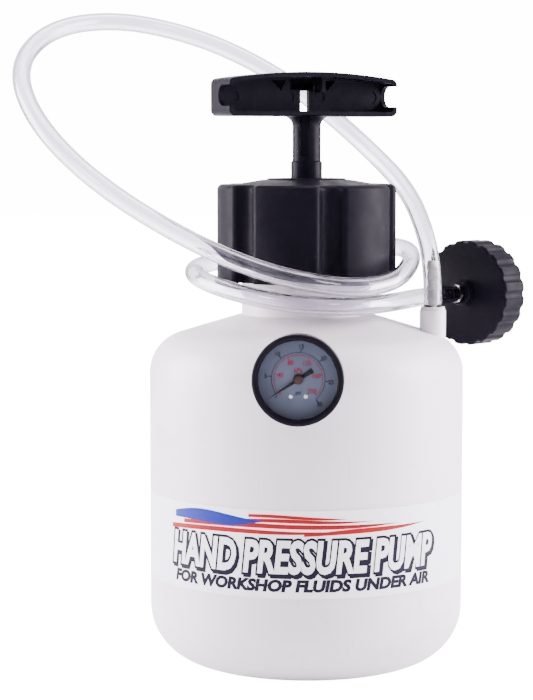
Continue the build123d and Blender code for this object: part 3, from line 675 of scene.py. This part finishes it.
class PUMPTANK_OT_hose(bpy.types.Operator):
    """Lay the clear hose along its route"""

    bl_idname = "pumptank.hose"
    bl_label = "Clear hose"

    def execute(self, context):
        settings = context.scene.pumptank_hose
        line = smooth_line(HOSE_ROUTE, settings.steps)
        mesh = self.tube(line, settings)
        mesh.materials.append(clear_vinyl(tuple(settings.tint)))
        hose = mesh_object("clear_hose", mesh, "tank_body")
        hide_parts("hose")
        return {"FINISHED"}

    def tube(self, line, settings):
        """A closed tube with an outer and an inner wall."""
        shape = bmesh.new()
        walls = []
        for radius in (settings.outer_radius, settings.bore_radius):
            rings = []
            for point, side, up in cross_frames(line):
                ring = []
                for step in range(settings.sides):
                    turn = math.tau * step / settings.sides
                    ring.append(shape.verts.new(
                        point + (side * math.cos(turn) + up * math.sin(turn)) * radius))
                rings.append(ring)
            walls.append(rings)
        outer, inner = walls
        for rings in walls:
            for first, second in zip(rings, rings[1:]):
                band(shape, first, second)
        band(shape, inner[0], outer[0])
        band(shape, outer[-1], inner[-1])
        bmesh.ops.recalc_face_normals(shape, faces=shape.faces)
        return mesh_from_bmesh("clear_hose", shape)

# ---- Tank and plastics ----

class PUMPTANK_OT_plastics(bpy.types.Operator):
    """Give every moulded, rubber and metal part its finish"""

    bl_idname = "pumptank.plastics"
    bl_label = "Plastics, rubber and metal"

    def execute(self, context):
        settings = context.scene.pumptank_plastic
        black = tuple(settings.black_colour)
        dress(tank_plastic(tuple(settings.tank_colour)), "tank")
        dress(
            black_plastic("collar_nylon", black, (0.36, 0.50), 1100.0, 0.20),
            "pump_collar", "rod_guide")
        dress(black_plastic("handle_nylon", black, (0.28, 0.42), 1500.0, 0.10), "t_handle")
        dress(
            black_plastic("rod_nylon", black, (0.30, 0.40), 1500.0, 0.08), "plunger_rod", "piston")
        dress(
            black_plastic("fitting_nylon", black, (0.26, 0.38), 1600.0, 0.08),
            "outlet_nut", "adapter_fitting", "adapter_nut")
        dress(black_plastic("cap_nylon", black, (0.38, 0.55), 1000.0, 0.22), "adapter_cap")
        dress(
            black_plastic("bezel_gloss", (0.006, 0.005, 0.008), (0.10, 0.16), 600.0, 0.03, 0.1),
            "gauge_bezel", "gauge_case")
        natural = natural_plastic("natural_polypropylene", tuple(settings.natural_colour))
        dress(
            natural, "pump_barrel", "rod_bush", "barrel_foot", "valve_keeper", "outlet_fitting",
            "outlet_seal")
        dress(natural_plastic("dip_tube_polyethylene", (0.72, 0.72, 0.71)), "dip_tube")
        dress(
            rubber("nitrile_rubber"),
            "neck_gasket", "gauge_seal", "adapter_gasket", "check_valve_disc", "piston_cup")
        brass = metal("turned_brass", (0.72, 0.50, 0.20), (0.22, 0.38))
        dress(brass, "gauge_stem", "gauge_nut", "movement_frame", "bourdon_tube", "needle_arbor")
        zinc = metal("zinc_steel", (0.58, 0.58, 0.60), (0.25, 0.4))
        dress(zinc, "handle_pin", "cup_washer", "piston_screw")
        dress(window_plastic(), "gauge_lens")
        # The dial's material carries painted shade: blue-grey on a white dial, darker towards the
        # rim.
        dress(dial_paint(tuple(context.scene.pumptank_gauge.dial_colour)), "gauge_dial")
        return {"FINISHED"}


# ---- Label ----

def wrapped(point, radius):
    """Places a flat label point, (run round from the front, height), on the tank's wall."""
    turn = point[0] / TANK_RADIUS
    return Vector((radius * math.sin(turn), -radius * math.cos(turn), point[1]))


def lettering(text, height, slant, weight=0.0):
    """A flat mesh of one line of text, centred, its letters that high."""
    curve = bpy.data.curves.new("lettering", "FONT")
    curve.body = text
    curve.align_x = "CENTER"
    curve.align_y = "BOTTOM_BASELINE"
    curve.shear = slant
    curve.offset = weight
    curve.size = 1.0
    curve.resolution_u = 3
    holder = bpy.data.objects.new("lettering", curve)
    mesh = bpy.data.meshes.new_from_object(holder)
    bpy.data.objects.remove(holder)
    bpy.data.curves.remove(curve)
    capital = 0.69
    for vertex in mesh.vertices:
        vertex.co *= height / capital
    return mesh


def squeeze_to(mesh, width):
    """Scales a flat mesh to a width about its middle."""
    low = min(vertex.co.x for vertex in mesh.vertices)
    high = max(vertex.co.x for vertex in mesh.vertices)
    for vertex in mesh.vertices:
        vertex.co.x = (vertex.co.x - (low + high) / 2) * width / (high - low)
    return mesh


def wrap_flat(name, flat, radius, foot):
    """Cuts a flat mesh into narrow upright strips and bends it round the label."""
    step = 2.0 * MM
    shape = bmesh.new()
    shape.from_mesh(flat)
    bmesh.ops.remove_doubles(shape, verts=shape.verts, dist=1e-7)
    low = min(vertex.co.x for vertex in shape.verts)
    high = max(vertex.co.x for vertex in shape.verts)
    for cut in range(1, int((high - low) / step) + 1):
        everything = shape.verts[:] + shape.edges[:] + shape.faces[:]
        bmesh.ops.bisect_plane(
            shape, geom=everything, plane_co=(low + cut * step, 0, 0), plane_no=(1, 0, 0),
            dist=1e-7)
    bmesh.ops.triangulate(shape, faces=shape.faces)
    for vertex in shape.verts:
        vertex.co = wrapped((vertex.co.x, vertex.co.y + foot), radius)
    for face in shape.faces:
        face.normal_update()
        if face.normal.dot(face.calc_center_median() * Vector((1, 1, 0))) < 0:
            face.normal_flip()
    return mesh_from_bmesh(name, shape)


def ribbon(start, end, foot, head, thick_start, thick_middle, wave):
    """Outline of a ribbon that rises from foot to head with one wave and ends in a point."""
    count = 24
    upper, lower = [], []
    for step in range(count + 1):
        part = step / count
        along = start + (end - start) * part
        middle = foot + (head - foot) * part + wave * math.sin(part * math.tau * 0.9)
        half = (thick_start * (1 - part) + thick_middle * math.sin(part * math.pi)) / 2
        upper.append((along, middle + half))
        lower.append((along, middle - half))
    return lower + upper[::-1][1:]


def flat_outline(outline):
    """A flat mesh of one filled outline, in label millimetres."""
    shape = bmesh.new()
    vertices = [shape.verts.new((x * MM, y * MM, 0)) for x, y in outline]
    shape.faces.new(vertices)
    bmesh.ops.triangulate(shape, faces=shape.faces)
    return mesh_from_bmesh("outline", shape, smooth=False)


class PUMPTANK_OT_label(bpy.types.Operator):
    """Print the wrap label with generic ribbons and words"""

    bl_idname = "pumptank.label"
    bl_label = "Label print"

    def execute(self, context):
        settings = context.scene.pumptank_label
        dress(vinyl_sheet(), "tank_label")
        layer = settings.print_height
        red = print_ink("label_red", tuple(settings.red_colour))
        blue = print_ink("label_blue", tuple(settings.blue_colour))
        ink = print_ink("label_ink", tuple(settings.ink_colour))
        white = print_ink("label_white", (0.84, 0.84, 0.88))
        foot = LABEL_LOW[2]
        ribbons = [
            ribbon(-26, 24, 40.9, 39.8, 1.5, 0.8, 0.4),
            ribbon(-32, 38, 38.3, 38.4, 1.3, 1.2, 0.5),
            ribbon(-66, 52, 34.6, 36.7, 1.9, 1.2, 0.9),
            ribbon(-76, 30, 31.2, 34.3, 2.2, 1.0, 0.8),
            ribbon(2, 70, 31.6, 35.4, 1.0, 1.9, 0.4),
        ]
        bands = [flat_outline(shape) for shape in ribbons]
        self.print_shapes("label_ribbons", bands, layer, red, foot, 0.2 * layer)
        wave = ribbon(-73, -18, 37.6, 39.0, 3.4, 4.6, 0.9)
        self.print_shapes("label_wave", [flat_outline(wave)], 2 * layer, blue, foot)
        title_width, title_height, title_foot, slant = 150 * MM, 15.2 * MM, foot + 13.2 * MM, 0.16
        for name, shift, depth in (
            ("label_title_shadow", 1.1 * MM, 2.5),
            ("label_title_edge", 0.0, 3.2),
        ):
            edge = squeeze_to(
                lettering(settings.title, title_height, slant, 0.095), title_width + 2.6 * MM)
            for vertex in edge.vertices:
                vertex.co.x += shift
                vertex.co.y -= shift
            self.print_shapes(name, [edge], depth * layer, ink, title_foot)
        title = squeeze_to(lettering(settings.title, title_height, slant, 0.038), title_width)
        self.print_shapes("label_title", [title], 4 * layer, white, title_foot)
        note = squeeze_to(lettering(settings.note, 5.4 * MM, slant, 0.058), 146 * MM)
        self.print_shapes("label_note", [note], layer, ink, foot + 3.8 * MM)
        return {"FINISHED"}

    def print_shapes(self, name, flats, height, material, foot, rise=0.0):
        """One printed piece from flat meshes, off the label, each a rise above the last."""
        joined = bmesh.new()
        for order, flat in enumerate(flats):
            wrapped_mesh = wrap_flat(name, flat, LABEL_RADIUS + height + order * rise, foot)
            joined.from_mesh(wrapped_mesh)
        mesh = mesh_from_bmesh(name, joined)
        mesh.materials.append(material)
        piece = mesh_object(name, mesh, "tank_body")


# ---- Gauge ----

def on_dial(x, z, lift):
    """A point on the dial, x to the right and z up from its centre, that far off its face."""
    return Vector((GAUGE_CENTRE.x + x, GAUGE_CENTRE.y - lift, GAUGE_CENTRE.z + z))


def geometry_group(name, sockets):
    """An empty geometry nodes tree with named inputs: (tree, its input node)."""
    tree = bpy.data.node_groups.new(name, "GeometryNodeTree")
    for label, kind in (("Geometry", "Geometry"), *sockets):
        tree.interface.new_socket(label, in_out="INPUT", socket_type="NodeSocket" + kind)
    tree.interface.new_socket("Geometry", in_out="OUTPUT", socket_type="NodeSocketGeometry")
    return tree, tree.nodes.new("NodeGroupInput")


def finish_tree(tree, made, material):
    """Ends a geometry nodes tree with real geometry in its material."""
    real = add(tree, "GeometryNodeRealizeInstances", Geometry=made)
    paint = add(tree, "GeometryNodeSetMaterial", Geometry=real.outputs[0], Material=material)
    add(tree, "NodeGroupOutput", i0=paint.outputs[0])
    return tree


def scale_ticks_tree():
    """Geometry nodes: flat ticks along an arc in the XZ plane, seen from -Y."""
    name = "Scale ticks"
    if name in bpy.data.node_groups:
        return bpy.data.node_groups[name]
    tree, start = geometry_group(name, (
        ("Count", "Int"), ("Start", "Float"), ("Step", "Float"), ("Radius", "Float"),
        ("Length", "Float"), ("Width", "Float"), ("Centre", "Vector"), ("Material", "Material")))
    given = start.outputs
    points = add(tree, "GeometryNodePoints", Count=given["Count"])
    index = tree.nodes.new("GeometryNodeInputIndex").outputs[0]
    turned = calculate(tree, "MULTIPLY", index, given["Step"])
    angle = calculate(tree, "SUBTRACT", given["Start"], turned)
    direction = add(
        tree, "ShaderNodeCombineXYZ", X=calculate(tree, "COSINE", angle),
        Z=calculate(tree, "SINE", angle))
    reach = add(
        tree, "ShaderNodeVectorMath", "SCALE", i0=direction.outputs[0], Scale=given["Radius"])
    place = add(tree, "ShaderNodeVectorMath", "ADD", i0=reach.outputs[0], i1=given["Centre"])
    moved = add(
        tree, "GeometryNodeSetPosition", Geometry=points.outputs[0], Position=place.outputs[0])
    blade = add(
        tree, "GeometryNodeMeshGrid", Vertices_X=2, Vertices_Y=2, Size_X=given["Length"],
        Size_Y=given["Width"])
    upright = add(
        tree, "GeometryNodeTransform", Geometry=blade.outputs["Mesh"],
        Rotation=(math.pi / 2, 0, 0))
    spin = add(tree, "ShaderNodeCombineXYZ", Y=calculate(tree, "MULTIPLY", angle, -1.0))
    copies = add(
        tree, "GeometryNodeInstanceOnPoints", Points=moved.outputs[0],
        Instance=upright.outputs[0], Rotation=spin.outputs[0])
    return finish_tree(tree, copies.outputs[0], given["Material"])


def grow(tree, values):
    """Runs a geometry nodes tree on an empty mesh and returns the finished mesh."""
    holder = bpy.data.objects.new("grown", bpy.data.meshes.new("grown"))
    bpy.context.scene.collection.objects.link(holder)
    modifier = holder.modifiers.new("nodes", "NODES")
    modifier.node_group = tree
    for item in tree.interface.items_tree:
        if item.item_type == "SOCKET" and item.in_out == "INPUT" and item.name in values:
            modifier[item.identifier] = values[item.name]
    depsgraph = bpy.context.evaluated_depsgraph_get()
    mesh = bpy.data.meshes.new_from_object(holder.evaluated_get(depsgraph))
    holder.modifiers.remove(modifier)
    bpy.data.objects.remove(holder)
    return mesh


def arc_band(shape, radius, width, start, end, lift):
    """A thin flat arc on the dial, added to a bmesh."""
    count = 72
    rows = []
    for step in range(count + 1):
        angle = start + (end - start) * step / count
        rows.append([
            shape.verts.new(on_dial(reach * math.cos(angle), reach * math.sin(angle), lift))
            for reach in (radius - width / 2, radius + width / 2)
        ])
    for before, after in zip(rows, rows[1:]):
        shape.faces.new((before[0], before[1], after[1], after[0]))


def face_the_front(shape):
    """Turns every face of a flat dial print towards -Y."""
    for face in shape.faces:
        face.normal_update()
        if face.normal.y > 0:
            face.normal_flip()


class PUMPTANK_OT_dial(bpy.types.Operator):
    """Print the gauge's two scales, numbers and units"""

    bl_idname = "pumptank.dial"
    bl_label = "Gauge dial"

    lift = 0.03 * MM

    def execute(self, context):
        settings = context.scene.pumptank_gauge
        dark = print_ink("dial_black", (0.004, 0.004, 0.012), 0.4)
        red = print_ink("dial_red", tuple(settings.red_colour), 0.4)
        zero, step = settings.zero_angle, settings.psi_step
        kpa_step = step * settings.psi_per_kpa
        outer, inner = settings.psi_radius, settings.kpa_radius
        numbers = [
            (str(psi), zero - psi * step, 15.7 * MM, 2.1 * MM) for psi in range(5, 31, 5)]
        self.scale(
            "dial_print_dark", dark, numbers, ("psi", 0, -6.4 * MM, 1.9 * MM),
            outer, 1, zero, 30 * step,
            [(31, step, 0.8 * MM, 0.2 * MM), (7, 5 * step, 1.8 * MM, 0.4 * MM)])
        numbers = [
            (str(kpa), zero - kpa * kpa_step, 8.7 * MM, 2.2 * MM) for kpa in range(40, 201, 40)]
        self.scale(
            "dial_print_red", red, numbers, ("kPa", 0, 4.3 * MM, 2.2 * MM),
            inner, -1, zero, 200 * kpa_step,
            [(21, 10 * kpa_step, 0.7 * MM, 0.2 * MM), (6, 40 * kpa_step, 1.4 * MM, 0.45 * MM)])
        return {"FINISHED"}

    def scale(self, name, material, numbers, unit, radius, side, zero, sweep, ticks):
        """One printed scale: its arc, ticks on one side, numbers and unit."""
        shape = bmesh.new()
        arc_band(shape, radius, 0.26 * MM, zero, zero - sweep, self.lift)
        for count, step, length, width in ticks:
            centre = on_dial(0, 0, self.lift * 1.5)
            shape.from_mesh(grow(scale_ticks_tree(), {
                "Count": count, "Start": zero, "Step": step, "Length": length, "Width": width,
                "Radius": radius + side * length / 2, "Centre": centre, "Material": material}))
        for text, angle, reach, height in numbers:
            self.word(shape, text, reach * math.cos(angle), reach * math.sin(angle), height)
        text, across, up, height = unit
        self.word(shape, text, across, up, height)
        face_the_front(shape)
        mesh = mesh_from_bmesh(name, shape, smooth=False)
        mesh.materials.clear()
        mesh.materials.append(material)
        for polygon in mesh.polygons:
            polygon.material_index = 0
        piece = mesh_object(name, mesh, "tank_body")

    def word(self, shape, text, across, up, height):
        """A number or unit centred at a place on the dial."""
        flat = lettering(text, height, 0.0, 0.022)
        for vertex in flat.vertices:
            vertex.co = on_dial(
                vertex.co.x * 0.92 + across, vertex.co.y + up - height / 2, self.lift * 2)
        shape.from_mesh(flat)


class PUMPTANK_OT_needle(bpy.types.Operator):
    """Make the needle with its hub, and the dial's two screws"""

    bl_idname = "pumptank.needle"
    bl_label = "Gauge needle and screws"

    def execute(self, context):
        needle = self.needle(context.scene.pumptank_gauge.needle_angle)
        needle.data.materials.append(print_ink("needle_black", (0.003, 0.003, 0.005), 0.3))
        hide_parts("gauge_needle")
        hub = self.dome(
            "needle_hub", [(0, 0)], 2.45 * MM, -NEEDLE_LOW[1] + 0.02 * MM, 0.75 * MM, "pointer")
        hub.data.materials.append(metal("hub_bronze", (0.055, 0.030, 0.024), (0.35, 0.5)))
        low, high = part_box("dial_screws")
        across = (high[0] - low[0]) / 2 - 1.15 * MM
        drop = (low[2] + high[2]) / 2 - GAUGE_CENTRE.z
        screws = self.dome(
            "dial_screw_heads", [(-across, drop), (across, drop)], 1.25 * MM,
            -DIAL_LOW[1] + 0.05 * MM, 0.7 * MM, "tank_body", slotted=True)
        screws.data.materials.append(metal("screw_zinc", (0.62, 0.62, 0.66), (0.12, 0.22)))
        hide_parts("dial_screws")
        return {"FINISHED"}

    def needle(self, zero):
        """A folded blade: thin towards the tip, broad at the tail, with a low ridge along it."""
        outline = [(-8.3, 1.35), (-2.6, 0.95), (0, 0.9), (17.2, 0.10)]
        front = -NEEDLE_LOW[1]
        back = -NEEDLE_HIGH[1]
        corners = ((1, front), (0, front + 0.1 * MM), (-1, front), (-1, back), (1, back))
        along = Vector((math.cos(zero), 0, math.sin(zero)))
        over = Vector((-math.sin(zero), 0, math.cos(zero)))
        shape = bmesh.new()
        rows = []
        for reach, half in outline:
            place = Vector((0, 0, GAUGE_CENTRE.z)) + along * reach * MM
            rows.append([
                shape.verts.new(place + over * half * side * MM + Vector((0, -forward, 0)))
                for side, forward in corners
            ])
        for before, after in zip(rows, rows[1:]):
            band(shape, before, after)
        shape.faces.new(rows[0])
        shape.faces.new(rows[-1][::-1])
        bmesh.ops.recalc_face_normals(shape, faces=shape.faces)
        return mesh_object("needle", mesh_from_bmesh("needle", shape, smooth=False), "pointer")

    def dome(self, name, places, radius, forward, height, body, slotted=False):
        """Low domes standing on the dial, each closed underneath, cross-slotted if asked."""
        shape = bmesh.new()
        sides, rings = 32, 6
        for across, up in places:
            rows = []
            for ring in range(rings):
                part = ring / rings
                spread = radius * math.cos(part * math.pi / 2) ** 0.6
                rise = height * math.sin(part * math.pi / 2)
                rows.append([
                    shape.verts.new((
                        across + spread * math.cos(math.tau * side / sides),
                        -forward - rise,
                        GAUGE_CENTRE.z + up + spread * math.sin(math.tau * side / sides)))
                    for side in range(sides)
                ])
            for before, after in zip(rows, rows[1:]):
                band(shape, before, after)
            shape.faces.new(rows[0])
            top = shape.verts.new((across, -forward - height, GAUGE_CENTRE.z + up))
            for side in range(sides):
                shape.faces.new((rows[-1][side], rows[-1][(side + 1) % sides], top))
        bmesh.ops.recalc_face_normals(shape, faces=shape.faces)
        piece = mesh_object(name, mesh_from_bmesh(name, shape), body)
        if slotted:
            self.cut_slots(piece, places, radius, forward, height)
        return piece

    def cut_slots(self, piece, places, radius, forward, height):
        """Cuts a cross into the top of each dome."""
        bars = bmesh.new()
        for across, up in places:
            centre = (across, -forward - height, GAUGE_CENTRE.z + up)
            long, narrow = radius * 1.3, radius * 0.26
            for size in ((long, height, narrow), (narrow, height, long)):
                made = bmesh.ops.create_cube(bars, size=1.0)
                bmesh.ops.scale(bars, vec=size, verts=made["verts"])
                bmesh.ops.translate(bars, vec=centre, verts=made["verts"])
        cutter = mesh_object("slot_cutter", mesh_from_bmesh("slot_cutter", bars, smooth=False))
        modifier = piece.modifiers.new("slots", "BOOLEAN")
        modifier.operation = "DIFFERENCE"
        modifier.object = cutter
        modifier.use_self = True
        depsgraph = bpy.context.evaluated_depsgraph_get()
        cut = bpy.data.meshes.new_from_object(piece.evaluated_get(depsgraph))
        piece.modifiers.remove(modifier)
        piece.data = cut
        bpy.data.objects.remove(cutter)


# ---- Moulded details ----

def thread_tree():
    """Geometry nodes: one helical thread ridge round +Z, its ends tapered."""
    name = "Thread ridge"
    if name in bpy.data.node_groups:
        return bpy.data.node_groups[name]
    tree, start = geometry_group(name, (
        ("Turns", "Float"), ("Radius", "Float"), ("Height", "Float"), ("Ridge", "Float"),
        ("Material", "Material")))
    given = start.outputs
    spiral = add(
        tree, "GeometryNodeCurveSpiral", Resolution=96, Rotations=given["Turns"],
        Start_Radius=given["Radius"], End_Radius=given["Radius"], Height=given["Height"])
    taper = add(
        tree, "ShaderNodeFloatCurve",
        Value=tree.nodes.new("GeometryNodeSplineParameter").outputs["Factor"])
    shape = taper.mapping.curves[0]
    shape.points[0].location = (0, 0.05)
    shape.points[1].location = (1, 0.05)
    shape.points.new(0.06, 1)
    shape.points.new(0.94, 1)
    taper.mapping.update()
    profile = add(
        tree, "GeometryNodeCurvePrimitiveCircle", Resolution=6, Radius=given["Ridge"])
    sized = add(
        tree, "GeometryNodeCurveToMesh", Curve=spiral.outputs[0],
        Profile_Curve=profile.outputs[0], Scale=taper.outputs[0], Fill_Caps=True)
    return finish_tree(tree, sized.outputs[0], given["Material"])


class PUMPTANK_OT_threads(bpy.types.Operator):
    """Wind the thread ridge inside the adapter's cap"""

    bl_idname = "pumptank.threads"
    bl_label = "Adapter thread"

    def execute(self, context):
        mesh = grow(thread_tree(), {
            "Turns": 2.4, "Radius": 22.6 * MM, "Height": 8.0 * MM, "Ridge": 0.75 * MM,
            "Material": bpy.data.materials["cap_nylon"]})
        inward = -ADAPTER_OUT
        turn = Vector((0, 0, 1)).rotation_difference(inward).to_matrix().to_4x4()
        mesh.transform(Matrix.Translation(ADAPTER_FACE + inward * 5.6 * MM) @ turn)
        for polygon in mesh.polygons:
            polygon.use_smooth = True
        thread = mesh_object("adapter_thread", mesh, "adapter")
        return {"FINISHED"}


# ---- Panel and registration ----

class PUMPTANK_PT_panel(bpy.types.Panel):
    """Buttons for each group of pieces"""

    bl_idname = "PUMPTANK_PT_panel"
    bl_label = "Pump Tank"
    bl_space_type = "VIEW_3D"
    bl_region_type = "UI"
    bl_category = "Pump Tank"

    def draw(self, context):
        for operator in OPERATORS:
            self.layout.operator(operator.bl_idname)


SETTINGS = {
    "pumptank_stage": StageSettings,
    "pumptank_plastic": PlasticSettings,
    "pumptank_label": LabelSettings,
    "pumptank_gauge": GaugeSettings,
    "pumptank_hose": HoseSettings,
}
OPERATORS = (
    PUMPTANK_OT_stage,
    PUMPTANK_OT_hose,
    PUMPTANK_OT_plastics,
    PUMPTANK_OT_label,
    PUMPTANK_OT_dial,
    PUMPTANK_OT_needle,
    PUMPTANK_OT_threads,
)


def register():
    """Registers the settings, operators and panel."""
    for name, group in SETTINGS.items():
        bpy.utils.register_class(group)
        setattr(bpy.types.Scene, name, bpy.props.PointerProperty(type=group))
    for operator in OPERATORS:
        bpy.utils.register_class(operator)
    bpy.utils.register_class(PUMPTANK_PT_panel)


def unregister():
    """Takes everything away again, in the opposite order."""
    bpy.utils.unregister_class(PUMPTANK_PT_panel)
    for operator in reversed(OPERATORS):
        bpy.utils.unregister_class(operator)
    for name, group in reversed(SETTINGS.items()):
        delattr(bpy.types.Scene, name)
        bpy.utils.unregister_class(group)


def main():
    """Builds everything in order."""
    register()
    bpy.ops.pumptank.stage()
    bpy.ops.pumptank.hose()
    bpy.ops.pumptank.plastics()
    bpy.ops.pumptank.label()
    bpy.ops.pumptank.dial()
    bpy.ops.pumptank.needle()
    bpy.ops.pumptank.threads()


if __name__ == "__main__":
    main()
